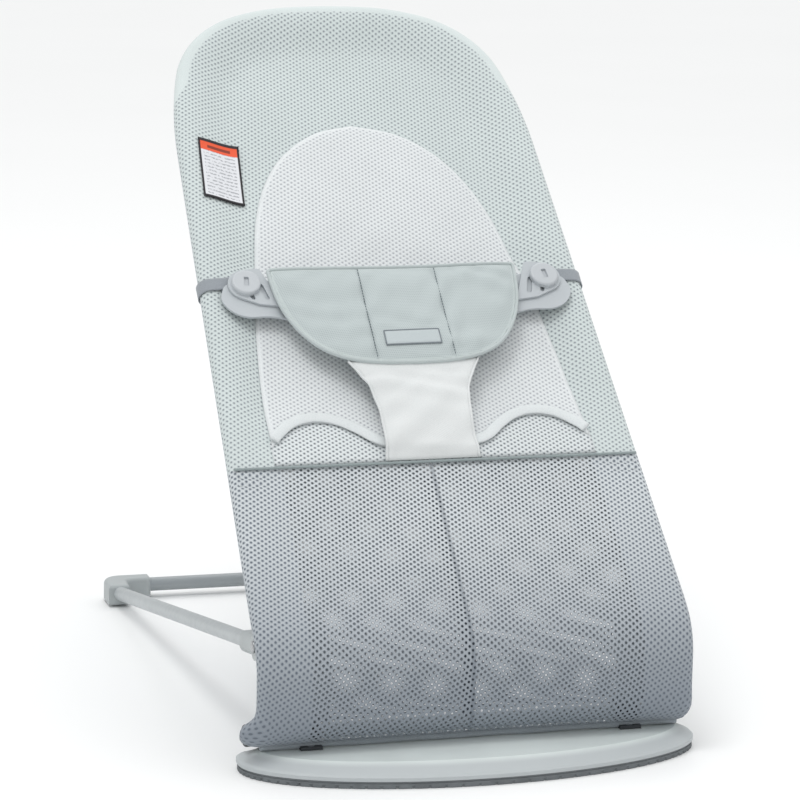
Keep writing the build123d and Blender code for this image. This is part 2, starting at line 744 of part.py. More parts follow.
def build_harness():
    build_belt()
    build_crotch_strap()
    build_wing()
    build_wing_backing()

    disc_w = WING_UPPER_W + WING_THICKNESS
    disc_height = 4.6
    place = (BUTTON_U, BUTTON_V)
    with BuildPart() as button:
        with BuildSketch(SEAT.offset(disc_w)):
            with Locations(place):
                Circle(12.5)
        extrude(amount=disc_height)
        fillet(button.faces().sort_by(Axis(SEAT_ORIGIN, OUT_OF_SEAT))[-1].edges(), radius=2.0)
        with BuildSketch(SEAT.offset(disc_w + disc_height)):
            with Locations(Location(place, 96.0)):
                RectangleRounded(9.6, 4.4, radius=1.0)
        extrude(amount=-2.0, mode=Mode.SUBTRACT)
        with BuildSketch(SEAT.offset(disc_w)):
            with Locations(place):
                Circle(STEM_RADIUS)
        extrude(amount=-(disc_w - TUBE - SLEEVE - FABRIC - 0.4))
    keep_pair(button, "belt_button")


def main():
    os.makedirs("parts", exist_ok=True)
    build_hinge_clamps(build_plate())
    build_foot_springs()
    build_foot_crossbar()
    build_brackets()
    build_leg_hubs()
    build_corner_feet()
    build_seat_frame()
    build_fabric()
    build_insert()
    build_seat_trim()
    build_harness()


main()
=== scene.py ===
import json
import math

import bmesh
import bpy
import numpy as np
from mathutils import Matrix, Vector
from mathutils.geometry import delaunay_2d_cdt


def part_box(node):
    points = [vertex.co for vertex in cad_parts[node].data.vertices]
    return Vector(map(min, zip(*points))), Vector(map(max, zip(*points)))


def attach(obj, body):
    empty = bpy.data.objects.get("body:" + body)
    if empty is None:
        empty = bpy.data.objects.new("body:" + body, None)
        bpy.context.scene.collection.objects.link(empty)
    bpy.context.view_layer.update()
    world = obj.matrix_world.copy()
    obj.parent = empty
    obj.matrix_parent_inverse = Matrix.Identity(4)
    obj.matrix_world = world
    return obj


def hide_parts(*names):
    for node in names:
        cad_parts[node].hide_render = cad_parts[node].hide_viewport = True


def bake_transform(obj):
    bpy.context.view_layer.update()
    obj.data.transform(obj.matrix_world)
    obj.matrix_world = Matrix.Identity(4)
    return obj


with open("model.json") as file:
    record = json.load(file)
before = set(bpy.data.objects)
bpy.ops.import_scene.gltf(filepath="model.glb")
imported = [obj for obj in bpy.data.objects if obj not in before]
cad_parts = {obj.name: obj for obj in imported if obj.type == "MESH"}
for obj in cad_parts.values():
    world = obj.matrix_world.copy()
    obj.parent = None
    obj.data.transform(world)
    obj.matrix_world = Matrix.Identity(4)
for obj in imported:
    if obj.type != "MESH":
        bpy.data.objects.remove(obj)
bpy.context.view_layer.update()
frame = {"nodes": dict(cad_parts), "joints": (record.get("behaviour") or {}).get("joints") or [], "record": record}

# Baby bouncer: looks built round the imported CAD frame.  Metres; u is the width, s runs up the seat
# fabric from the foot, and w is the height above the frame tubes' middle surface.

# ---------------------------------------------------------------- places taken from the frame
JOINTS = {joint["name"]: joint for joint in frame["joints"]}
SLOPE = math.radians(-JOINTS["recline"]["range_deg"][0])
PIVOT = Vector(JOINTS["recline"]["pos_m"])
SPLIT = Vector(JOINTS["bounce"]["pos_m"])
UP_SEAT = Vector((0, math.cos(SLOPE), math.sin(SLOPE)))
OUT = Vector((0, -math.sin(SLOPE), math.cos(SLOPE)))

SPLIT_V = -0.1434
SEAT_ORIGIN = SPLIT - UP_SEAT * SPLIT_V
TUBE = (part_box("rear_crossbar")[1].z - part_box("rear_crossbar")[0].z) / 2
FOOT_FRONT_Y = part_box("foot_spring_right")[0].y + TUBE
FOOT_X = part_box("foot_spring_right")[1].x - TUBE
UPPER_BEND = 0.046
LOWER_BEND = 0.024

SIDE_LEAN = math.radians(2.18)
HALF_WIDTH = FOOT_X + SPLIT_V * math.tan(SIDE_LEAN)
ARCH_V = 0.350
ARCH_BENDS = ((0.4094, 12.26), (0.0928, 54.77), (0.1808, 17.19))

FABRIC_LIFT = 0.0076             # fabric's middle surface above the tubes' middle line
SEAM_V = 0.002                   # pocket seam
CENTRE_SEAM_U = -0.006           # seam up the middle of the pocket


def seat_point(u, v, w):
    return SEAT_ORIGIN + Vector((u, 0, 0)) + UP_SEAT * v + OUT * w


# ---------------------------------------------------------------- the seat's side profile
LINE_END_Y = FOOT_FRONT_Y + UPPER_BEND * (1 - math.sin(SLOPE))
BEND_V = SPLIT_V - (SPLIT.y - LINE_END_Y) / math.cos(SLOPE)
LINE_END = SEAT_ORIGIN + UP_SEAT * BEND_V
UPPER_CENTRE = (LINE_END.y + UPPER_BEND * math.sin(SLOPE), LINE_END.z - UPPER_BEND * math.cos(SLOPE))
DROP_V = BEND_V - UPPER_BEND * (math.pi / 2 - SLOPE)
LOWER_CENTRE = (FOOT_FRONT_Y + LOWER_BEND, PIVOT.z + LOWER_BEND)
TUCK_V = DROP_V - (UPPER_CENTRE[1] - LOWER_CENTRE[1])


def fabric_point(u, s, w):
    """Point at width u, s along the profile and w outside it; s is v on the seat's straight part."""
    if s >= BEND_V:
        return seat_point(u, s, w)
    if s >= DROP_V:
        angle = SLOPE + (BEND_V - s) / UPPER_BEND
        radius = UPPER_BEND + w
        return Vector((u, UPPER_CENTRE[0] - radius * math.sin(angle),
                       UPPER_CENTRE[1] + radius * math.cos(angle)))
    if s >= TUCK_V:
        return Vector((u, FOOT_FRONT_Y - w, UPPER_CENTRE[1] - (DROP_V - s)))
    angle = math.pi / 2 + (TUCK_V - s) / LOWER_BEND
    radius = LOWER_BEND + w
    return Vector((u, LOWER_CENTRE[0] - radius * math.sin(angle), LOWER_CENTRE[1] + radius * math.cos(angle)))


def half_width_at(s):
    return HALF_WIDTH - max(s, SPLIT_V) * math.tan(SIDE_LEAN)


def arch_rail(steps):
    """Frame's middle line over the head, +X side, as (u, v, outward u, outward v), to the crown."""
    u, v = half_width_at(ARCH_V), ARCH_V
    heading = math.pi / 2 + SIDE_LEAN
    stations = []
    bends = list(ARCH_BENDS) + [(None, None)]
    for radius, turn in bends:
        if radius is None:
            turn = math.pi - heading
            radius = u / math.sin(turn)
        else:
            turn = math.radians(turn)
        centre = (u - radius * math.sin(heading), v + radius * math.cos(heading))
        count = max(3, int(steps * radius * turn / 0.35))
        for index in range(1, count + 1):
            at = heading + turn * index / count
            stations.append((centre[0] + radius * math.sin(at), centre[1] - radius * math.cos(at),
                             math.sin(at), -math.cos(at)))
        heading += turn
        u, v = stations[-1][0], stations[-1][1]
    return stations


def side_rail(s_from, s_to, step):
    """Straight part of the rail, from s_from up to s_to."""
    count = max(2, int(math.ceil((s_to - s_from) / step)))
    stations = []
    for index in range(count + 1):
        s = s_from + (s_to - s_from) * index / count
        stations.append((half_width_at(s), s, 1.0, 0.0))
    return stations


# ---------------------------------------------------------------- the hollow of the seat fabric
HOLLOW = 0.0125                  # how far the fabric sinks between the tubes
HOLLOW_REACH = 0.046
BUTTON_SPOT = (0.133, 0.188)


def smooth(value):
    value = min(max(value, 0.0), 1.0)
    return value * value * (3 - 2 * value)


RAIL = []


def rail_distance(u, v):
    """Distance from the frame's middle line, measured in the fabric's plane."""
    if not RAIL:
        RAIL.extend((p[0], p[1]) for p in side_rail(-0.1, ARCH_V, 0.01) + arch_rail(60))
    u = abs(u)
    best = 1.0
    for (u0, v0), (u1, v1) in zip(RAIL, RAIL[1:]):
        du, dv = u1 - u0, v1 - v0
        t = min(max(((u - u0) * du + (v - v0) * dv) / (du * du + dv * dv), 0.0), 1.0)
        best = min(best, math.hypot(u - u0 - du * t, v - v0 - dv * t))
    return best


def cover_height(u, v):
    """Height of the front fabric above the frame's middle plane."""
    inward = rail_distance(u, v)
    sink = HOLLOW * smooth((inward - 0.003) / HOLLOW_REACH) * smooth((v - 0.004) / 0.085)
    held = math.hypot(abs(u) - BUTTON_SPOT[0], v - BUTTON_SPOT[1])
    sink *= 1 - 0.75 * math.exp(-(held / 0.022) ** 2)
    ripple = 0.0007 * math.sin(u * 61 + v * 23) * math.sin(v * 37 - u * 11) * smooth(inward / 0.06)
    return FABRIC_LIFT - sink + ripple * smooth((v - 0.004) / 0.05)


# ---------------------------------------------------------------- mesh helpers
def mesh_object(name, points, faces, attributes=(), smooth=True):
    """Mesh piece from points and faces; attributes are (name, kind, values), one value a point."""
    mesh = bpy.data.meshes.new(name)
    mesh.from_pydata([tuple(p) for p in points], [], faces)
    for label, kind, values in attributes:
        layer = mesh.attributes.new(label, kind, "POINT")
        key = "vector" if kind == "FLOAT_VECTOR" else "value"
        layer.data.foreach_set(key, np.array(values, np.float32).ravel())
    work = bmesh.new()
    work.from_mesh(mesh)
    bmesh.ops.remove_doubles(work, verts=work.verts, dist=1e-6)
    bmesh.ops.dissolve_degenerate(work, edges=work.edges, dist=1e-7)
    work.to_mesh(mesh)
    work.free()
    mesh.polygons.foreach_set("use_smooth", [smooth] * len(mesh.polygons))
    piece = bpy.data.objects.new(name, mesh)
    bpy.context.scene.collection.objects.link(piece)
    return piece


def grid_faces(rows, columns, close=False):
    """Quads of a rows by columns grid of points; close joins the last column to the first."""
    faces = []
    span = columns if close else columns - 1
    for row in range(rows - 1):
        for column in range(span):
            a = row * columns + column
            b = row * columns + (column + 1) % columns
            faces.append((a, b, b + columns, a + columns))
    return faces


def curve_through(points, step=0.003):
    """Smooth line through points (centripetal Catmull-Rom), resampled at about one step."""
    pts = [Vector(p) for p in points]
    line = []
    for index in range(len(pts) - 1):
        p1, p2 = pts[index], pts[index + 1]
        p0 = pts[index - 1] if index else p1 * 2 - p2
        p3 = pts[index + 2] if index + 2 < len(pts) else p2 * 2 - p1
        pieces = max(1, int(round((p2 - p1).length / step)))
        d1 = max((p1 - p0).length ** 0.5, 1e-6)
        d2 = max((p2 - p1).length ** 0.5, 1e-6)
        d3 = max((p3 - p2).length ** 0.5, 1e-6)
        m1 = ((p1 - p0) / d1 - (p2 - p0) / (d1 + d2) + (p2 - p1) / d2) * d2
        m2 = ((p2 - p1) / d2 - (p3 - p1) / (d2 + d3) + (p3 - p2) / d3) * d2
        for piece in range(pieces):
            t = piece / pieces
            line.append(p1 * (2 * t ** 3 - 3 * t ** 2 + 1) + m1 * (t ** 3 - 2 * t ** 2 + t)
                        + p2 * (3 * t ** 2 - 2 * t ** 3) + m2 * (t ** 3 - t ** 2))
    line.append(pts[-1])
    return line


def mirrored(half):
    """Closed outline from its half at +u, given from the middle line round to the middle line."""
    other = [Vector((-p.x, p.y)) for p in reversed(half) if abs(p.x) > 1e-5]
    return list(half) + other


def to_segments(points, outline):
    """Distance of every point from a closed outline."""
    pts = np.array(points, float)
    ends = np.array([(p[0], p[1]) for p in outline], float)
    nexts = np.roll(ends, -1, axis=0)
    along = nexts - ends
    length = (along ** 2).sum(1)
    length[length == 0] = 1e-12
    best = np.full(len(pts), 1e9)
    for a, d, l2 in zip(ends, along, length):
        t = np.clip(((pts - a) @ d) / l2, 0, 1)
        best = np.minimum(best, np.hypot(*(pts - a - t[:, None] * d).T))
    return best


def within(points, ring):
    """Whether each point lies inside a closed outline."""
    pts = np.array([(p[0], p[1]) for p in points])
    crossing = np.zeros(len(pts), int)
    for a, b in zip(ring, ring[1:] + ring[:1]):
        if a.y == b.y:
            continue
        hit = (pts[:, 1] >= min(a.y, b.y)) & (pts[:, 1] < max(a.y, b.y))
        at = a.x + (pts[:, 1] - a.y) * (b.x - a.x) / (b.y - a.y)
        crossing += (hit & (pts[:, 0] < at)).astype(int)
    return crossing % 2 == 1


def filled(outline, step):
    """Triangles and points filling a closed outline, with each point's distance from it."""
    ring = [Vector((p[0], p[1])) for p in outline]
    low = Vector((min(p.x for p in ring), min(p.y for p in ring)))
    high = Vector((max(p.x for p in ring), max(p.y for p in ring)))
    inner = []
    rows = int((high.y - low.y) / (step * 0.866)) + 1
    for row in range(rows):
        y = low.y + row * step * 0.866
        x = low.x + (step / 2 if row % 2 else 0)
        while x < high.x:
            inner.append((x, y))
            x += step
    away = to_segments(inner, ring)
    inside = [Vector(p) for p, c, d in zip(inner, within(inner, ring), away) if c and d > step * 0.45]
    area = sum(a.x * b.y - b.x * a.y for a, b in zip(ring, ring[1:] + ring[:1]))
    if area < 0:
        ring.reverse()
    border = [list(range(len(ring)))]
    points, _, faces, _, _, _ = delaunay_2d_cdt(ring + inside, [], border, 1, 1e-7, True)
    middles = [sum((points[i] for i in f), Vector((0, 0))) / len(f) for f in faces]
    faces = [f for f, c in zip(faces, within(middles, ring)) if c]
    distance = to_segments([(p.x, p.y) for p in points], ring)
    return points, faces, distance


def stuffed(name, outline, step, top, under):
    """Closed soft piece filling an outline: top and under give the two faces' 3-D points from
    (x, y, distance from the edge); they meet round the edge."""
    points, faces, distance = filled(outline, step)
    total = len(points)
    upper = [top(p.x, p.y, d) for p, d in zip(points, distance)]
    lower = [under(p.x, p.y, d) for p, d in zip(points, distance)]
    skin = [tuple(f) for f in faces]
    skin += [tuple(i + total for i in reversed(f)) for f in faces]
    sides = {side: None for face in faces for side in zip(face, face[1:] + face[:1])}
    for a, b in sides:
        if (b, a) not in sides:
            skin.append((b, a, a + total, b + total))
    flats = [(p.x, p.y, 0.0) for p in points] * 2
    edges = list(distance) * 2
    return mesh_object(name, upper + lower, skin, (("flat", "FLOAT_VECTOR", flats), ("edge", "FLOAT", edges)))


def tube_along(name, path, radius, flatten, across, sides=10, closed=False):
    """Round or flattened roll of tape along a line; across gives the direction of its wide side."""
    rows = len(path)
    points, flats = [], []
    run = 0.0
    for index, place in enumerate(path):
        before = path[index - 1] if closed or index else place
        after = path[(index + 1) % rows] if closed or index + 1 < rows else place
        ahead = (after - before).normalized()
        wide = across[index]
        wide = (wide - ahead * wide.dot(ahead)).normalized()
        thin = ahead.cross(wide)
        run += (place - path[index - 1]).length if index else 0.0
        for side in range(sides):
            angle = 2 * math.pi * side / sides
            points.append(place + wide * math.cos(angle) * radius + thin * math.sin(angle) * radius * flatten)
            flats.append((run, radius * angle, 0.0))
    faces = grid_faces(rows, sides, close=True)
    if closed:
        last = (rows - 1) * sides
        faces += [(last + i, last + (i + 1) % sides, (i + 1) % sides, i) for i in range(sides)]
    else:
        faces.append(tuple(reversed(range(sides))))
        faces.append(tuple(range((rows - 1) * sides, rows * sides)))
    return mesh_object(name, points, faces, (("flat", "FLOAT_VECTOR", flats),))


def dress(piece, material):
    piece.data.materials.clear()
    piece.data.materials.append(material)


def apply_modifiers(piece):
    bpy.context.view_layer.update()
    graph = bpy.context.evaluated_depsgraph_get()
    done = bpy.data.meshes.new_from_object(piece.evaluated_get(graph))
    old = piece.data
    piece.modifiers.clear()
    piece.data = done
    bpy.data.meshes.remove(old)


# ---------------------------------------------------------------- material helpers
def linear(red, green, blue):
    """Linear colour of an sRGB colour given from 0 to 255."""
    out = []
    for value in (red, green, blue):
        c = value / 255
        out.append(c / 12.92 if c <= 0.04045 else ((c + 0.055) / 1.055) ** 2.4)
    return (*out, 1.0)


class Nodes:
    """Short way to write a material's node tree."""

    def __init__(self, name, roughness=0.5, specular=0.5):
        self.material = bpy.data.materials.new(name)
        self.material.use_nodes = True
        self.tree = self.material.node_tree
        self.shader = self.tree.nodes["Principled BSDF"]
        self.shader.inputs["Roughness"].default_value = roughness
        self.shader.inputs["Specular IOR Level"].default_value = specular

    def add(self, kind, **settings):
        node = self.tree.nodes.new(kind)
        for key, value in settings.items():
            setattr(node, key, value)
        return node

    def link(self, source, target):
        self.tree.links.new(source, target)

    def feed(self, socket, value):
        if isinstance(value, bpy.types.NodeSocket):
            self.link(value, socket)
        else:
            socket.default_value = value

    def math(self, operation, *values):
        node = self.add("ShaderNodeMath", operation=operation)
        for socket, value in zip(node.inputs, values):
            self.feed(socket, value)
        return node.outputs[0]

    def vector(self, operation, *values):
        node = self.add("ShaderNodeVectorMath", operation=operation)
        for socket, value in zip(node.inputs, values):
            self.feed(socket, value)
        return node.outputs["Value"] if operation == "LENGTH" else node.outputs[0]

    def attribute(self, name, vector=False):
        node = self.add("ShaderNodeAttribute", attribute_name=name)
        return node.outputs["Vector"] if vector else node.outputs["Fac"]

    def add_split(self, vector, axis):
        node = self.add("ShaderNodeSeparateXYZ")
        self.link(vector, node.inputs[0])
        return node.outputs[axis]

    def place(self):
        return self.add("ShaderNodeTexCoord").outputs["Object"]

    def noise(self, scale, detail=3.0, place=None):
        node = self.add("ShaderNodeTexNoise")
        node.inputs["Scale"].default_value = scale
        node.inputs["Detail"].default_value = detail
        node.inputs["Roughness"].default_value = 0.5
        self.link(place if place is not None else self.place(), node.inputs["Vector"])
        return node.outputs["Fac"]

    def range(self, value, low, high, to_low=0.0, to_high=1.0):
        node = self.add("ShaderNodeMapRange", interpolation_type="SMOOTHSTEP")
        self.feed(node.inputs["Value"], value)
        node.inputs["From Min"].default_value = low
        node.inputs["From Max"].default_value = high
        node.inputs["To Min"].default_value = to_low
        node.inputs["To Max"].default_value = to_high
        return node.outputs["Result"]

    def mix(self, factor, first, second):
        node = self.add("ShaderNodeMix", data_type="RGBA")
        self.feed(node.inputs["Factor"], factor)
        self.feed(node.inputs["A"], first)
        self.feed(node.inputs["B"], second)
        return node.outputs["Result"]

    def bump(self, height, strength, distance):
        node = self.add("ShaderNodeBump")
        node.inputs["Strength"].default_value = strength
        node.inputs["Distance"].default_value = distance
        self.feed(node.inputs["Height"], height)
        self.link(node.outputs["Normal"], self.shader.inputs["Normal"])

    def colour(self, value):
        self.feed(self.shader.inputs["Base Color"], value)

    def rough(self, value):
        self.feed(self.shader.inputs["Roughness"], value)


def moulded(name, base, roughness=0.42, grain=2600, relief=0.00004, shade=0.93, rim=None):
    """Moulded plastic: fine spark-eroded grain, faint cloudy colour and, for the plate, a painted shade darkening
    its lower rim.
    """
    n = Nodes(name, roughness)
    place = n.place()
    cloud = n.noise(14, 3, place)
    darker = tuple(c * shade for c in base[:3]) + (1.0,)
    colour = n.mix(n.range(cloud, 0.35, 0.65), darker, base)
    # Painted shade: below the height rim[0] the colour turns to the darker rim colour, as if the sides were shaded
    # from above.
    if rim:
        low = n.range(n.add_split(place, "Z"), rim[0] - 0.0022, rim[0] + 0.0016, 1.0, 0.0)
        colour = n.mix(low, colour, rim[1])
    n.colour(colour)
    fine = n.noise(grain, 2, place)
    n.rough(n.range(n.noise(60, 4, place), 0.3, 0.7, roughness - 0.05, roughness + 0.08))
    n.bump(fine, 0.35, relief)
    return n.material


def painted(name, base, roughness=0.36):
    """Powder-coated tube: soft orange peel with small colour drift."""
    n = Nodes(name, roughness)
    place = n.place()
    darker = tuple(c * 0.94 for c in base[:3]) + (1.0,)
    n.colour(n.mix(n.range(n.noise(22, 3, place), 0.3, 0.7), darker, base))
    n.rough(n.range(n.noise(180, 3, place), 0.3, 0.7, roughness - 0.05, roughness + 0.07))
    n.bump(n.noise(900, 2, place), 0.25, 0.00008)
    n.shader.inputs["Coat Weight"].default_value = 0.15
    n.shader.inputs["Coat Roughness"].default_value = 0.3
    return n.material


def steel(name, base):
    n = Nodes(name, 0.34)
    n.shader.inputs["Metallic"].default_value = 1.0
    place = n.place()
    darker = tuple(c * 0.85 for c in base[:3]) + (1.0,)
    n.colour(n.mix(n.range(n.noise(400, 4, place), 0.3, 0.7), darker, base))
    n.rough(n.range(n.noise(900, 3, place), 0.3, 0.7, 0.26, 0.44))
    n.bump(n.noise(2400, 2, place), 0.2, 0.00003)
    return n.material


def rubber(name, base):
    n = Nodes(name, 0.75, 0.3)
    place = n.place()
    darker = tuple(c * 0.8 for c in base[:3]) + (1.0,)
    n.colour(n.mix(n.range(n.noise(90, 4, place), 0.3, 0.7), darker, base))
    n.rough(n.range(n.noise(300, 3, place), 0.3, 0.7, 0.68, 0.85))
    n.bump(n.noise(1800, 3, place), 0.5, 0.0001)
    return n.material


def hole_distance(n, flat, cell, turn):
    """Distance to the nearest hole of a staggered pattern over the cloth's flat coordinates."""
    turned = n.add("ShaderNodeVectorRotate", rotation_type="Z_AXIS")
    turned.inputs["Angle"].default_value = turn
    n.link(flat, turned.inputs["Vector"])
    distances = []
    for shift in ((0, 0, 0), (cell[0] / 2, cell[1] / 2, 0)):
        moved = n.vector("ADD", turned.outputs[0], shift)
        scaled = n.vector("DIVIDE", moved, (cell[0], cell[1], 1.0))
        part = n.vector("SUBTRACT", n.vector("FRACTION", scaled), (0.5, 0.5, 0.0))
        in_plane = n.vector("MULTIPLY", part, (cell[0], cell[1], 0.0))
        distances.append(n.vector("LENGTH", in_plane))
    return n.math("MINIMUM", *distances)


CELL = (0.0061, 0.0048)          # the mesh's staggered cell, one hole at its corners and its middle
CELL_TURN = math.radians(9)


def open_mesh(name, base, shadow, hole, see_through=1.0, border=0.016, cell=CELL, turn=CELL_TURN,
              lined=0.0, foot_shade=None, closing=False, seam_at=None):
    """Knitted spacer mesh: staggered holes, a plain border band, yarn relief and soft sheen.

    see_through is how clear the holes are; lined closes them within that distance of the edge, where they
    show the shadow colour as painted shade, and closing closes them towards the head. The tint towards the
    foot is a painted shade that darkens the cloth there, and seam_at draws the line of a sewn seam at that width,
    darkened along its crease as painted shade.
    """
    n = Nodes(name, 0.82, 0.25)
    flat = n.attribute("flat", vector=True)
    edge = n.attribute("edge")
    distance = hole_distance(n, flat, cell, turn)
    softness = hole * 0.3
    holes = n.range(distance, hole - softness, hole + softness, 1.0, 0.0)
    plain = n.range(edge, border - 0.0010, border + 0.0010, 0.0, 1.0)
    holes = n.math("MULTIPLY", holes, plain)
    yarn = n.noise(1500, 3, flat)
    drift = n.noise(9, 3, flat)
    cloth = n.mix(n.range(drift, 0.3, 0.7), tuple(c * 0.95 for c in base[:3]) + (1.0,), base)
    cloth = n.mix(n.range(yarn, 0.35, 0.75, 0.0, 0.30), cloth, shadow)
    ring = n.range(distance, hole, 0.0021, 0.0, 1.0)
    dimple = n.math("MULTIPLY", n.math("SUBTRACT", 1.0, ring), plain)
    cloth = n.mix(n.math("MULTIPLY", dimple, 0.45), cloth, shadow)
    # Painted shade: the cloth darkens towards the foot, to the colour given.
    if foot_shade is not None:
        shade_to_foot = n.range(n.add_split(flat, "Y"), foot_shade[0], foot_shade[1], 1.0, 0.0)
        cloth = n.mix(shade_to_foot, cloth, foot_shade[2])
    # Painted shade: a thin line of the shadow colour along the seam, standing in for the shade in its crease.
    if seam_at is not None:
        off = n.math("ABSOLUTE", n.math("SUBTRACT", n.add_split(flat, "X"), seam_at))
        cloth = n.mix(n.range(off, 0.0006, 0.0030, 0.42, 0.0), cloth, shadow)
    n.colour(n.mix(holes, cloth, shadow))
    if see_through:
        clear = n.math("MULTIPLY", holes, see_through)
        # Holes closed near the edge show the shadow colour: painted shade of the lining behind them.
        if lined:
            clear = n.math("MULTIPLY", clear, n.range(edge, lined, lined + 0.002))
        if closing:
            below = n.range(n.add_split(flat, "Y"), -0.20, -0.02, 1.0, 0.22)
            clear = n.math("MULTIPLY", clear, below)
        n.link(n.math("SUBTRACT", 1.0, clear), n.shader.inputs["Alpha"])
    n.bump(n.math("ADD", n.math("SUBTRACT", 1.0, dimple), n.math("MULTIPLY", yarn, 0.35)), 0.5, 0.0004)
    n.shader.inputs["Sheen Weight"].default_value = 0.2
    n.shader.inputs["Sheen Roughness"].default_value = 0.5
    return n.material


def knit(name, base, shadow, rib=1400, roughness=0.85, relief=0.00018):
    """Close knit or woven tape, plain to the eye with a fine yarn grain."""
    n = Nodes(name, roughness, 0.25)
    place = n.place()
    wave = n.add("ShaderNodeTexWave", wave_type="BANDS", bands_direction="DIAGONAL")
    wave.inputs["Scale"].default_value = rib / 6
    wave.inputs["Distortion"].default_value = 1.5
    wave.inputs["Detail"].default_value = 2.0
    n.link(place, wave.inputs["Vector"])
    yarn = n.noise(rib, 3, place)
    drift = n.noise(12, 3, place)
    cloth = n.mix(n.range(drift, 0.3, 0.7), tuple(c * 0.955 for c in base[:3]) + (1.0,), base)
    n.colour(n.mix(n.range(yarn, 0.4, 0.8, 0.0, 0.4), cloth, shadow))
    n.rough(n.range(yarn, 0.3, 0.7, roughness - 0.05, roughness + 0.05))
    n.bump(n.math("ADD", n.math("MULTIPLY", wave.outputs["Fac"], 0.5), yarn), 0.5, relief)
    n.shader.inputs["Sheen Weight"].default_value = 0.3
    n.shader.inputs["Sheen Roughness"].default_value = 0.5
    return n.material


# The plate's darker rim colour is painted shade on its sides.
PLATE = moulded("plate_plastic", linear(212, 220, 219), 0.42, rim=(0.0166, linear(184, 190, 192)))
UNDERSIDE = moulded("underside_plastic", linear(120, 125, 128), 0.55)
FOOT = moulded("foot_plastic", linear(176, 182, 183), 0.45)
# Dark plastic; on the hinge clamps its darkness also stands in for the shade below the foot hem.
DARK = moulded("dark_plastic", linear(52, 56, 60), 0.4)
WING = moulded("wing_plastic", linear(184, 190, 194), 0.42, shade=0.97)
BUTTON = moulded("button_plastic", linear(188, 193, 197), 0.32, relief=0.00002, shade=0.97)
METAL = painted("frame_paint", linear(178, 184, 186))
# The frame's paint made darker for the rear crossbar: painted shade.
SHADED_CROSSBAR_PAINT = painted("crossbar_painted_shade", linear(156, 162, 165))
STEEL = steel("plated_steel", linear(176, 178, 180))
SOLE = rubber("sole_rubber", linear(118, 123, 126))
SEAT_MESH = open_mesh("seat_mesh", linear(216, 225, 224), linear(146, 155, 160), 0.00070, 0.25)
# The pocket's darkening towards the foot is painted shade.
POCKET_MESH = open_mesh("pocket_mesh", linear(216, 222, 225), linear(100, 108, 118), 0.00090, 1.0, 0.0,
                        lined=0.055, seam_at=CENTRE_SEAM_U,
                        foot_shade=(-0.285, -0.03, linear(128, 136, 146)))
BACK_MESH = open_mesh("back_mesh", linear(172, 179, 186), linear(96, 104, 114), 0.00112, 1.0, 0.046,
                      closing=True, turn=CELL_TURN + math.radians(7.6))
PAD_MESH = open_mesh("pad_mesh", linear(230, 234, 235), linear(160, 164, 170), 0.00064, 0.0, 0.0035)
LOWER_MESH = open_mesh("lower_mesh", linear(228, 233, 234), linear(136, 144, 150), 0.00080, 0.45, 0.0)
BELT_CLOTH = open_mesh("belt_cloth", linear(206, 215, 214), linear(166, 176, 178), 0.00042, 0.0, 0.003,
                       cell=(0.0027, 0.0021), turn=math.radians(38))
BINDING = knit("binding_tape", linear(190, 199, 199), linear(150, 160, 162), 1900)
PIPING = knit("seam_piping_tape", linear(150, 161, 162), linear(104, 116, 118), 1900)
STRAP_CLOTH = knit("strap_cloth", linear(223, 226, 226), linear(196, 200, 202))
BAND_CLOTH = knit("band_cloth", linear(221, 226, 227), linear(188, 195, 198), 900)
ELASTIC = knit("elastic_tape", linear(150, 156, 162), linear(104, 110, 116), 1600)
# Tape behind the pocket's centre seam; its dark colour is painted shade, seen through the front's holes.
SEAM_SHADE_TAPE = knit("seam_tape", linear(70, 78, 86), linear(50, 56, 62), 1600)
HEM_TAPE = knit("hem_tape", linear(160, 168, 174), linear(110, 118, 125))

CAD_LOOKS = {
    "plate_plastic": PLATE, "underside_plastic": UNDERSIDE, "foot_plastic": FOOT, "dark_plastic": DARK,
    "wing_plastic": WING, "button_plastic": BUTTON, "frame_metal": METAL, "screw_steel": STEEL,
    "core_steel": STEEL, "sole_rubber": SOLE,
}


def dress_frame():
    """Give every CAD node that stays visible its material."""
    slots = {part["node"]: part["material_slot"] for part in frame["record"]["subparts"]}
    for name, piece in frame["nodes"].items():
        if slots[name] in CAD_LOOKS:
            dress(piece, CAD_LOOKS[slots[name]])
    # Painted shade: the rear crossbar gets a darker copy of the frame paint.
    dress(frame["nodes"]["rear_crossbar"], SHADED_CROSSBAR_PAINT)


# ---------------------------------------------------------------- frame fabric
FRONT_HEM_S = TUCK_V - LOWER_BEND * math.radians(70)
BACK_HEM_S = TUCK_V - LOWER_BEND * math.radians(58)
FLARE_S = TUCK_V - 0.016
FLARE_LEFT = 0.0120
FLARE_RIGHT = 0.0020
NARROW_HALF_WIDTH = 0.1486       # the back cloth passes between the foot springs


def flare(s):
    """How far the foot cover swells out over the end knuckles, near its hem."""
    reach = 0.0105 if s > FLARE_S else 0.030
    return math.exp(-((s - FLARE_S) / reach) ** 2)


def gather(u, s):
    """Small wrinkles that run in from the ends of the pocket seam."""
    near = smooth((abs(u) - 0.105) / 0.045) * math.exp(-((s + 0.010) / 0.013) ** 2)
    return near * (0.0011 * math.sin(s * 820 + abs(u) * 60) - 0.0006)


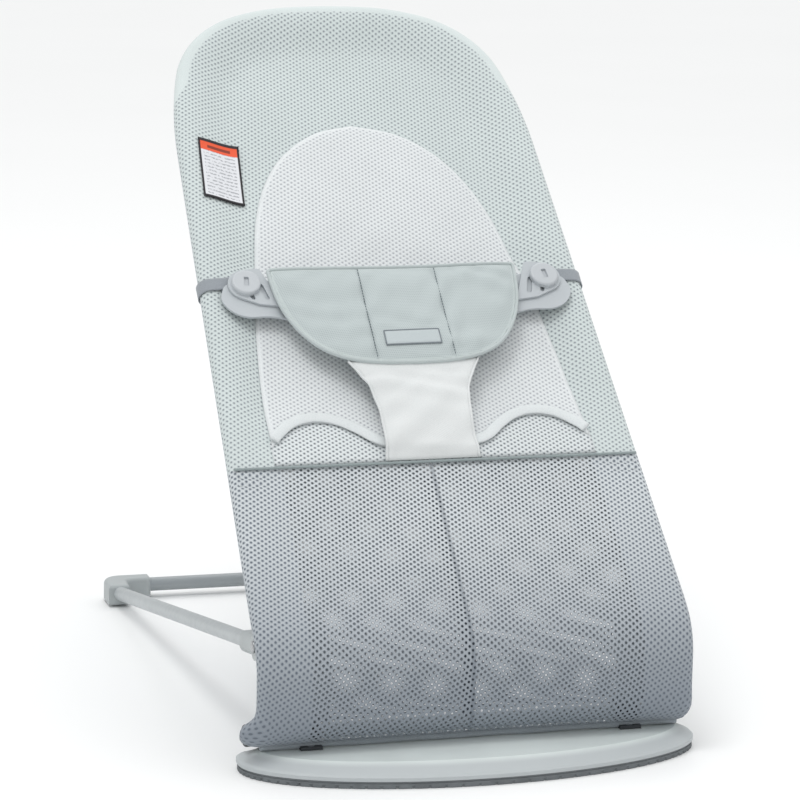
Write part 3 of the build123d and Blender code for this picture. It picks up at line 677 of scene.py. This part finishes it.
def stretched_cloth(name, stations, lift, sag=0.0, across=36, wrap_to=95.0, fan_v=None, hollow=False,
                    flared=False, narrowed=False):
    """Cloth stretched between the frame's sides and wrapped round the tubes.

    stations run up the +X side; lift is the cloth's height above the tubes' middle (negative for
    the back layer); sag is how far the middle hangs towards the frame plane.  hollow gives the cloth
    the seat's hollow, flared swells it over the end knuckles, and narrowed draws it in below the
    split, where it has almost no wrap.
    """
    wrap_steps = 9
    side = 1 if lift > 0 else -1
    columns = []
    for step in range(wrap_steps, 0, -1):
        columns.append(("wrap", math.radians(wrap_to) * step / wrap_steps))
    for step in range(across + 1):
        columns.append(("flat", 1 - step / across))
    half = len(columns)
    points, flats, edges = [], [], []
    turn = math.radians(wrap_to) * abs(lift)
    for u, s, out_u, out_s in stations:
        spine = min(s, fan_v) if fan_v is not None else s
        span = math.hypot(u, s - spine)
        row = []
        whole = smooth((s - SPLIT_V - 0.001) / 0.03) if narrowed else 1.0
        u = NARROW_HALF_WIDTH + (u - NARROW_HALF_WIDTH) * whole if narrowed else u
        for kind, amount in columns:
            if kind == "wrap":
                amount *= max(whole, 0.02)
                o = abs(lift) * math.sin(amount)
                bulge = flare(s) * math.sin(min(amount, math.pi / 2)) if flared else 0.0
                w = side * abs(lift) * math.cos(amount)
                arc = abs(lift) * amount
                row.append(((u + out_u * o, s + out_s * o, w), (u + out_u * arc, s + out_s * arc),
                            turn - arc, bulge))
            else:
                # amount 1 on the tube, 0 on the spine; the cloth leaves the tube at its top
                x = u * amount
                v = spine + (s - spine) * amount
                if hollow:
                    height = cover_height(x, v)
                elif flared:
                    height = lift - sag * (1 - amount ** 2) + gather(x, v)
                else:
                    height = lift - side * sag * (1 - amount ** 2) * min(1.0, span / 0.15) ** 2
                row.append(((x, v, height), (x, v), turn + span * (1 - amount), 0.0))
        twin = [((-p[0] - b * FLARE_LEFT, p[1], p[2]), (-f[0], f[1]), e) for p, f, e, b in row[:-1]]
        row = [((p[0] + b * FLARE_RIGHT, p[1], p[2]), f, e) for p, f, e, b in row]
        for p, f, e in row + twin[::-1]:
            points.append(fabric_point(*p))
            flats.append((f[0], f[1], 0.0))
            edges.append(e)
    width = 2 * half - 1
    bare = [e + (0.03 * (1 - smooth((f[1] - 0.37) / 0.06)) if hollow else 0.0) for e, f in zip(edges, flats)]
    return mesh_object(name, points, grid_faces(len(stations), width),
                       (("flat", "FLOAT_VECTOR", flats), ("edge", "FLOAT", bare)))


def blend_over_split(piece):
    """Fabric that crosses the bounce hinge: its placement is baked into its points; it is not bent over the split.
    """
    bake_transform(piece)


def build_cover():
    arch = arch_rail(60)
    front = stretched_cloth("seat_front_fabric", side_rail(SEAM_V, ARCH_V, 0.006) + arch,
                            FABRIC_LIFT, 0.0, across=60, fan_v=0.40, hollow=True)
    dress(front, SEAT_MESH)
    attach(front, "seat")
    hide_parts("seat_cover_front")

    pocket = stretched_cloth("pocket_front_fabric", side_rail(FRONT_HEM_S, SEAM_V, 0.004), FABRIC_LIFT,
                             0.0015, wrap_to=150.0, flared=True)
    dress(pocket, POCKET_MESH)
    blend_over_split(pocket)
    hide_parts("pocket_panel", "foot_cover_front")

    back = stretched_cloth("back_fabric", side_rail(BACK_HEM_S, ARCH_V, 0.006) + arch, -FABRIC_LIFT,
                           -0.003, wrap_to=95.0, fan_v=0.40, narrowed=True)
    dress(back, BACK_MESH)
    blend_over_split(back)
    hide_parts("seat_cover_back", "foot_cover_back")

    # Strip along the centre seam between the layers; its darkness is painted shade seen through the pocket's
    # holes.
    points, flats = [], []
    rows = side_rail(BACK_HEM_S, SEAM_V - 0.006, 0.006)
    for _, s, _, _ in rows:
        for du in (-0.0050, -0.0017, 0.0017, 0.0050):
            points.append(fabric_point(CENTRE_SEAM_U + du, s, -FABRIC_LIFT + 0.0016))
            flats.append((du, s, 0.0))
    tape = mesh_object("centre_seam_tape", points, grid_faces(len(rows), 4),
                       (("flat", "FLOAT_VECTOR", flats),))
    dress(tape, SEAM_SHADE_TAPE)
    blend_over_split(tape)

    path, wide = [], []
    for i in range(121):
        u = (half_width_at(SEAM_V) + 0.004) * (1 - 2 * i / 120)
        path.append(seat_point(u, SEAM_V - 0.001, FABRIC_LIFT + 0.0014))
        wide.append(UP_SEAT)
    piping = tube_along("pocket_seam_piping", path, 0.0012, 0.9, wide)
    dress(piping, PIPING)
    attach(piping, "seat")


def build_hem():
    """Rolled hem along the foot of the front cover."""
    turn = math.radians(74)
    reach = LOWER_BEND + FABRIC_LIFT
    place_y = LOWER_CENTRE[0] - reach * math.cos(turn)
    place_z = LOWER_CENTRE[1] - reach * math.sin(turn)
    path, wide = [], []
    for i in range(81):
        u = 0.1765 * (1 - 2 * i / 80)
        path.append(Vector((u, place_y, place_z + 0.0003 * math.sin(u * 90))))
        wide.append(Vector((0, math.cos(turn), math.sin(turn))))
    hem = tube_along("foot_hem_roll", path, 0.0029, 0.75, wide, sides=12)
    dress(hem, HEM_TAPE)
    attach(hem, "lower_frame")
    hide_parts("foot_hem")


# ---------------------------------------------------------------- insert
def build_insert():
    side = curve_through([(0, 0.380), (0.038, 0.3705), (0.070, 0.3455), (0.092, 0.312), (0.1065, 0.272),
                          (0.117, 0.218), (0.126, 0.165), (0.132, 0.115), (0.1365, 0.060), (0.1375, 0.022)])
    pad = curve_through([(0.1375, 0.022), (0.130, 0.032), (0.114, 0.0455), (0.095, 0.0500), (0.077, 0.0455),
                         (0.062, 0.0345), (0.048, 0.0215), (0.034, 0.0165), (0.0, 0.0160)])
    outline = mirrored(side[:-1] + pad)

    def swell(d):
        return 0.0034 * (1 - math.exp(-d / 0.0045)) + 0.0012 * smooth(d / 0.05)

    def top(u, v, d):
        quilt = 0.00035 * math.sin(u * 130 + 1.3 * math.sin(v * 40)) * math.sin(v * 95) * smooth(d / 0.02)
        return seat_point(u, v, cover_height(u, v) + 0.0010 + swell(d) + quilt)

    def under(u, v, d):
        return seat_point(u, v, cover_height(u, v) + 0.0006)

    insert = stuffed("padded_insert", outline, 0.0035, top, under)
    dress(insert, PAD_MESH)
    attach(insert, "seat")
    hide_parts("seat_insert")

    ring = curve_dense([Vector((0, 0.0035)), Vector((0.139, 0.0035)), Vector((0.139, 0.028))]
                       + [Vector((p.x, p.y + 0.004)) for p in pad[3:]])
    ring = mirrored(ring)
    piece = stuffed("insert_lower_mesh", ring, 0.005,
                    lambda u, v, d: seat_point(u, v, cover_height(u, v) + 0.0005),
                    lambda u, v, d: seat_point(u, v, cover_height(u, v) + 0.0002))
    dress(piece, LOWER_MESH)
    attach(piece, "seat")

    band_path, band_wide = [], []
    for p in pad[1:]:
        band_path.append(seat_point(p.x, p.y + 0.0040, cover_height(p.x, p.y) + 0.0034))
        band_wide.append(UP_SEAT)
    whole = band_path + [Vector((-p.x, p.y, p.z)) for p in reversed(band_path[:-1])]
    band = tube_along("insert_scallop_band", whole, 0.0046, 0.22, band_wide + band_wide[:-1], sides=14)
    dress(band, BAND_CLOTH)
    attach(band, "seat")


def curve_dense(points, step=0.004):
    """Straight-sided line with points added so that no side is longer than a step."""
    line = []
    for a, b in zip(points, points[1:]):
        pieces = max(1, int(round((b - a).length / step)))
        line += [a + (b - a) * k / pieces for k in range(pieces)]
    line.append(points[-1])
    return line


# ---------------------------------------------------------------- straps and care label
def build_straps():
    """Elastic straps from the buttons round the outside of the side tubes."""
    for side, name in ((1, "right"), (-1, "left")):
        radius = 0.0090
        centre = half_width_at(0.192)
        route = [(0.128, 0.0100, 0.1955), (0.139, 0.0098, 0.1945), (0.150, 0.0094, 0.1938)]
        for step in range(15):
            angle = math.radians(90 - 170 * step / 14)
            route.append((centre + radius * math.cos(angle), radius * math.sin(angle),
                          0.1935 - 0.0002 * step))
        points, flats = [], []
        run = 0.0
        before = None
        for u, w, v in route:
            if before:
                run += math.hypot(u - before[0], w - before[1])
            before = (u, w)
            for k in range(9):
                across = 0.0062 * (k / 4 - 1)
                points.append(seat_point(side * u, v + across, w))
                flats.append((run, across, 0.0))
        faces = grid_faces(len(route), 9)
        if side < 0:
            faces = [tuple(reversed(f)) for f in faces]
        strap = mesh_object("elastic_band_" + name, points, faces, (("flat", "FLOAT_VECTOR", flats),))
        solid = strap.modifiers.new("thickness", "SOLIDIFY")
        solid.thickness = 0.0009
        solid.offset = 0.0
        apply_modifiers(strap)
        dress(strap, ELASTIC)
        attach(strap, "seat")
        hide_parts("elastic_strap_" + name)


def label_look():
    """White label with a dark edge, an orange heading block and plain grey bars."""
    n = Nodes("care_label_print", 0.6, 0.3)
    flat = n.attribute("flat", vector=True)
    x = n.add_split(flat, "X")
    y = n.add_split(flat, "Y")
    white, dark = linear(222, 224, 228), linear(38, 36, 40)
    rim = n.math("MAXIMUM", n.math("ABSOLUTE", x), n.math("MULTIPLY", n.math("ABSOLUTE", y), 0.5545))
    edge = n.range(rim, 0.01695, 0.0174)
    header = n.range(y, 0.0215, 0.0218)
    rows = n.math("FRACT", n.math("MULTIPLY", y, 260))
    bars = n.math("MULTIPLY", n.range(rows, 0.42, 0.5), n.range(rows, 0.86, 0.94, 1.0, 0.0))
    ragged = n.noise(420, 2, flat)
    bars = n.math("MULTIPLY", bars, n.range(ragged, 0.42, 0.55))
    bars = n.math("MULTIPLY", bars, n.range(n.math("ABSOLUTE", x), 0.0145, 0.0150, 1.0, 0.0))
    head_off = n.math("ABSOLUTE", n.math("SUBTRACT", y, 0.0262))
    head_bar = n.math("MULTIPLY", n.range(head_off, 0.0014, 0.0018, 1.0, 0.0),
                      n.range(n.math("ABSOLUTE", x), 0.0105, 0.0110, 1.0, 0.0))
    body = n.mix(n.math("MULTIPLY", bars, 0.62), white, linear(120, 122, 130))
    top = n.mix(n.math("MULTIPLY", head_bar, 0.8), linear(232, 92, 58), linear(92, 46, 40))
    n.colour(n.mix(edge, n.mix(header, body, top), dark))
    n.bump(n.noise(1600, 2, flat), 0.3, 0.0001)
    return n.material


def build_label():
    """Care label sewn on the cover; it carries no lettering."""
    tilt = math.radians(-4.5)
    half_u, half_v = 0.0190, 0.0340
    ring = curve_dense([Vector(p) for p in ((-half_u, -half_v), (half_u, -half_v), (half_u, half_v),
                                            (-half_u, half_v), (-half_u, -half_v))], 0.002)[:-1]

    def at(x, y, lift):
        u = -0.1292 + x * math.cos(tilt) - y * math.sin(tilt)
        v = 0.3245 + x * math.sin(tilt) + y * math.cos(tilt)
        curl = 0.0010 * smooth((abs(y) - 0.026) / 0.01)
        return seat_point(u, v, cover_height(u, v) + lift + curl)

    label = stuffed("sewn_label", ring, 0.002, lambda x, y, d: at(x, y, 0.0011),
                    lambda x, y, d: at(x, y, 0.0006))
    dress(label, label_look())
    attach(label, "seat")
    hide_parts("care_label")


# ---------------------------------------------------------------- harness
BELT_EDGE_W = 0.0154
BELT_MIDDLE_W = 0.0230
BELT_HALF_WIDTH = 0.112
BELT_SHIFT = -0.003              # the soft belt hangs a little to one side
STITCH_U = 0.034


def belt_base(u):
    """Height of the belt's inner face."""
    rise = (BELT_MIDDLE_W - BELT_EDGE_W) * (u / BELT_HALF_WIDTH) ** 2
    return BELT_MIDDLE_W - rise


def belt_outline():
    half = curve_through([(0, 0.194), (0.030, 0.1945), (0.060, 0.1965), (0.090, 0.1990), (0.1075, 0.2000)])
    half += curve_through([(0.1095, 0.1985), (0.1085, 0.184), (0.1045, 0.160), (0.0965, 0.138),
                           (0.084, 0.1185), (0.0705, 0.1065), (0.054, 0.0985), (0.030, 0.0935),
                           (0.0, 0.0918)])
    return mirrored(half)


def belt_surface(u, v, lift):
    """Point of the belt, lift above its inner face, with two slack folds."""
    lower = math.exp(-((u - 0.045) / 0.04) ** 2 - ((v - 0.12) / 0.035) ** 2)
    upper = math.exp(-((u + 0.01) / 0.05) ** 2 - ((v - 0.165) / 0.03) ** 2)
    fold = 0.0011 * math.sin((v - 0.19) * 70 + u * 26) * lower
    fold += 0.0009 * math.sin((v + u * 0.5) * 85) * upper
    return seat_point(u + BELT_SHIFT, v, belt_base(u) + lift + fold)


def crumple(u, v):
    """Shallow folds of soft cloth: wave trains that cross, with fixed phases."""
    one = math.sin(120 * u + 80 * v + 1.9 * math.sin(55 * v + 20 * u))
    two = math.sin(-95 * u + 150 * v + 1.3 * math.sin(70 * u))
    three = math.sin(210 * u - 160 * v + 0.8)
    return 0.00085 * one * two + 0.00030 * three


def build_belt():
    outline = belt_outline()

    def groove(u):
        return 0.0012 * math.exp(-((abs(u) - STITCH_U) / 0.0016) ** 2)

    def top(u, v, d):
        puff = 0.0022 + 0.0030 * (1 - math.exp(-d / 0.006)) + 0.0010 * smooth(d / 0.03)
        worn = crumple(u, v) * smooth(d / 0.010) * (1.2 + 0.6 * smooth((u + 0.02) / 0.06))
        worn *= smooth(max(abs(u) - 0.026, abs(v - 0.1155) - 0.009, 0.0) / 0.010)
        return belt_surface(u, v, puff + worn - groove(u) * smooth(d / 0.004))

    def under(u, v, d):
        return belt_surface(u, v, 0.0022 - 0.0012 * (1 - math.exp(-d / 0.006)))

    belt = stuffed("padded_belt", outline, 0.0022, top, under)
    dress(belt, BELT_CLOTH)
    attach(belt, "harness")
    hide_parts("belt_panel")

    path, wide = [], []
    for p in outline:
        path.append(belt_surface(p.x, p.y, 0.0024))
        wide.append(OUT)
    binding = tube_along("belt_binding", path, 0.0021, 0.75, wide, sides=12, closed=True)
    dress(binding, BINDING)
    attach(binding, "harness")

    thread = Nodes("stitch_thread", 0.7)
    thread.colour(thread.mix(thread.noise(900), linear(88, 100, 106), linear(118, 130, 134)))
    thread.bump(thread.noise(2500), 0.3, 0.0001)
    for side, name in ((-1, "left"), (1, "right")):
        points, faces = [], []
        count = 34
        for k in range(count):
            v0 = 0.0975 + (0.1915 - 0.0975) * k / count
            v1 = v0 + 0.00150
            u = side * STITCH_U
            base = len(points)
            for v in (v0, v1):
                for du, lift in ((-0.00042, 0.0056), (0, 0.0063), (0.00042, 0.0056), (0, 0.0048)):
                    points.append(belt_surface(u + du, v, lift))
            faces += [(base + a, base + (a + 1) % 4, base + 4 + (a + 1) % 4, base + 4 + a) for a in range(4)]
            faces += [(base + 3, base + 2, base + 1, base), (base + 4, base + 5, base + 6, base + 7)]
        row = mesh_object("belt_stitches_" + name, points, faces)
        dress(row, thread.material)
        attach(row, "harness")

    ring = curve_dense([Vector(p) for p in ((-0.024, 0.1085), (0.024, 0.1085), (0.024, 0.1232),
                                            (-0.024, 0.1232), (-0.024, 0.1085))], 0.0015)[:-1]
    patch = stuffed("belt_patch_cloth", ring, 0.0018,
                    lambda u, v, d: belt_surface(u, v, 0.0064 + 0.0005 * smooth(d / 0.0012)),
                    lambda u, v, d: belt_surface(u, v, 0.0058))
    look = knit("patch_weave", linear(192, 201, 203), linear(152, 160, 165), 2400)
    dress(patch, look)
    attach(patch, "harness")
    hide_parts("belt_patch")
    rim_path = [belt_surface(p.x, p.y, 0.0064) for p in ring]
    rim = tube_along("belt_patch_edge", rim_path, 0.0006, 1.0, [OUT] * len(ring), sides=6, closed=True)
    rim_look = Nodes("patch_edge_thread", 0.7)
    rim_look.colour(rim_look.mix(rim_look.noise(900), linear(112, 120, 126), linear(134, 142, 147)))
    rim_look.bump(rim_look.noise(2500), 0.3, 0.0001)
    dress(rim, rim_look.material)
    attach(rim, "harness")


STRAP_LINE = ((0.0030, 0.0092), (0.012, 0.0135), (0.030, 0.0165), (0.052, 0.0185), (0.076, 0.0208),
              (0.098, 0.0215))


def strap_height(v):
    """Height of the crotch strap's middle surface."""
    for (v0, w0), (v1, w1) in zip(STRAP_LINE, STRAP_LINE[1:]):
        if v <= v1:
            t = (v - v0) / (v1 - v0)
            return w0 + (w1 - w0) * t
    return STRAP_LINE[-1][1]


def build_crotch_strap():
    half = curve_through([(0.057, 0.0985), (0.049, 0.084), (0.0425, 0.070), (0.0395, 0.053), (0.0385, 0.037),
                          (0.0388, 0.020), (0.0400, 0.0032)])
    ring = curve_dense([Vector((0.0, 0.0985)), Vector((0.055, 0.0985))], 0.003)[:-1] + half
    ring += curve_dense([Vector((0.0400, 0.0032)), Vector((0.0, 0.0032))], 0.003)[1:]
    outline = mirrored(ring)

    def at(u, v, lift):
        crown = 0.0016 * (1 - (u / 0.045) ** 2) * smooth((v - 0.003) / 0.02)
        crease = 0.0022 * math.sin(u * 42 + v * 55 + 1.0) * math.sin(v * 70 + 0.4)
        crease *= smooth((v - 0.004) / 0.012)
        crease += 1.6 * crumple(u * 0.8, v * 1.2 + 0.02) * smooth((v - 0.004) / 0.01)
        crease *= smooth((0.090 - v) / 0.012)
        crease -= 0.0016 * math.exp(-((v - 0.078 - u * 0.55) / 0.006) ** 2 - ((u + 0.012) / 0.02) ** 2)
        dent = -0.0028 * math.exp(-((u + 0.002) / 0.022) ** 2 - ((v - 0.017) / 0.009) ** 2)
        return seat_point(u + BELT_SHIFT * 1.3, v, strap_height(v) + crown + crease + dent + lift)

    strap = stuffed("crotch_strap_cloth", outline, 0.0028,
                    lambda u, v, d: at(u, v, 0.0004 + 0.0013 * (1 - math.exp(-d / 0.0018))),
                    lambda u, v, d: at(u, v, -0.0003 - 0.0007 * (1 - math.exp(-d / 0.0018))))
    dress(strap, STRAP_CLOTH)
    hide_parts("crotch_strap")
    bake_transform(strap)

    for side, name in ((1, "right"), (-1, "left")):
        path = [at(side * p.x, p.y, 0.0002) for p in half]
        trim = tube_along("strap_edge_" + name, path, 0.0014, 0.8, [OUT] * len(path), sides=10)
        dress(trim, STRAP_CLOTH)
        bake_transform(trim)


# ---------------------------------------------------------------- stage, light and camera
CAMERA_PLACE = Vector((-0.7935, -2.7257, 0.8222))
CAMERA_RIGHT = Vector((0.9677, -0.2515, 0.0143))
CAMERA_UP = Vector((0.0317, 0.178, 0.9835))
CAMERA_AIM = Vector((0.2499, 0.9513, -0.1802)) + CAMERA_RIGHT * 0.02775 - CAMERA_UP * 0.01893
LENS = 150.5


def build_camera():
    """Camera turned, with no shift, to frame the whole seat from the feet end."""
    data = bpy.data.cameras.new("camera")
    data.lens = LENS
    data.sensor_width = 36.0
    data.clip_end = 50.0
    camera = bpy.data.objects.new("camera", data)
    bpy.context.scene.collection.objects.link(camera)
    back = -CAMERA_AIM.normalized()
    right = (CAMERA_RIGHT - back * CAMERA_RIGHT.dot(back)).normalized()
    up = back.cross(right)
    turned = Matrix((right, up, back)).transposed()
    camera.matrix_world = Matrix.Translation(CAMERA_PLACE) @ turned.to_4x4()
    bpy.context.scene.camera = camera


def area_light(name, place, target, size, power):
    data = bpy.data.lights.new(name, "AREA")
    data.shape = "DISK"
    data.size = size
    data.energy = power
    lamp = bpy.data.objects.new(name, data)
    bpy.context.scene.collection.objects.link(lamp)
    lamp.location = place
    lamp.rotation_euler = (Vector(target) - Vector(place)).to_track_quat("-Z", "Y").to_euler()


def build_stage():
    """Pale floor, soft studio light that is brighter overhead, and two area lights."""
    n = Nodes("floor", 0.9, 0.1)
    n.colour(n.mix(n.noise(1.5), linear(244, 245, 245), linear(247, 248, 248)))
    size = 40.0
    corners = [(-size, -size, 0), (size, -size, 0), (size, size, 0), (-size, size, 0)]
    floor = mesh_object("floor", corners, [(0, 1, 2, 3)], smooth=False)
    floor.location.z = -0.0002
    dress(floor, n.material)

    world = bpy.data.worlds.new("studio")
    bpy.context.scene.world = world
    world.use_nodes = True
    tree = world.node_tree
    place = tree.nodes.new("ShaderNodeTexCoord")
    split = tree.nodes.new("ShaderNodeSeparateXYZ")
    tree.links.new(place.outputs["Generated"], split.inputs[0])
    ramp = tree.nodes.new("ShaderNodeMapRange")
    ramp.interpolation_type = "SMOOTHSTEP"
    ramp.inputs["From Min"].default_value = 0.0
    ramp.inputs["From Max"].default_value = 0.85
    ramp.inputs["To Min"].default_value = 0.40
    ramp.inputs["To Max"].default_value = 1.16
    tree.links.new(split.outputs["Z"], ramp.inputs["Value"])
    background = tree.nodes["Background"]
    background.inputs["Color"].default_value = (1.0, 1.0, 1.0, 1.0)
    tree.links.new(ramp.outputs["Result"], background.inputs["Strength"])
    area_light("key", (-0.9, -0.6, 3.2), (0, 0, 0.25), 1.2, 20)
    area_light("rim", (0.9, 1.6, 2.6), (0, 0, 0.3), 1.2, 6)
    bpy.context.scene.view_settings.view_transform = "Standard"


build_camera()
build_stage()
dress_frame()
build_cover()
build_hem()
build_insert()
build_straps()
build_label()
build_belt()
build_crotch_strap()
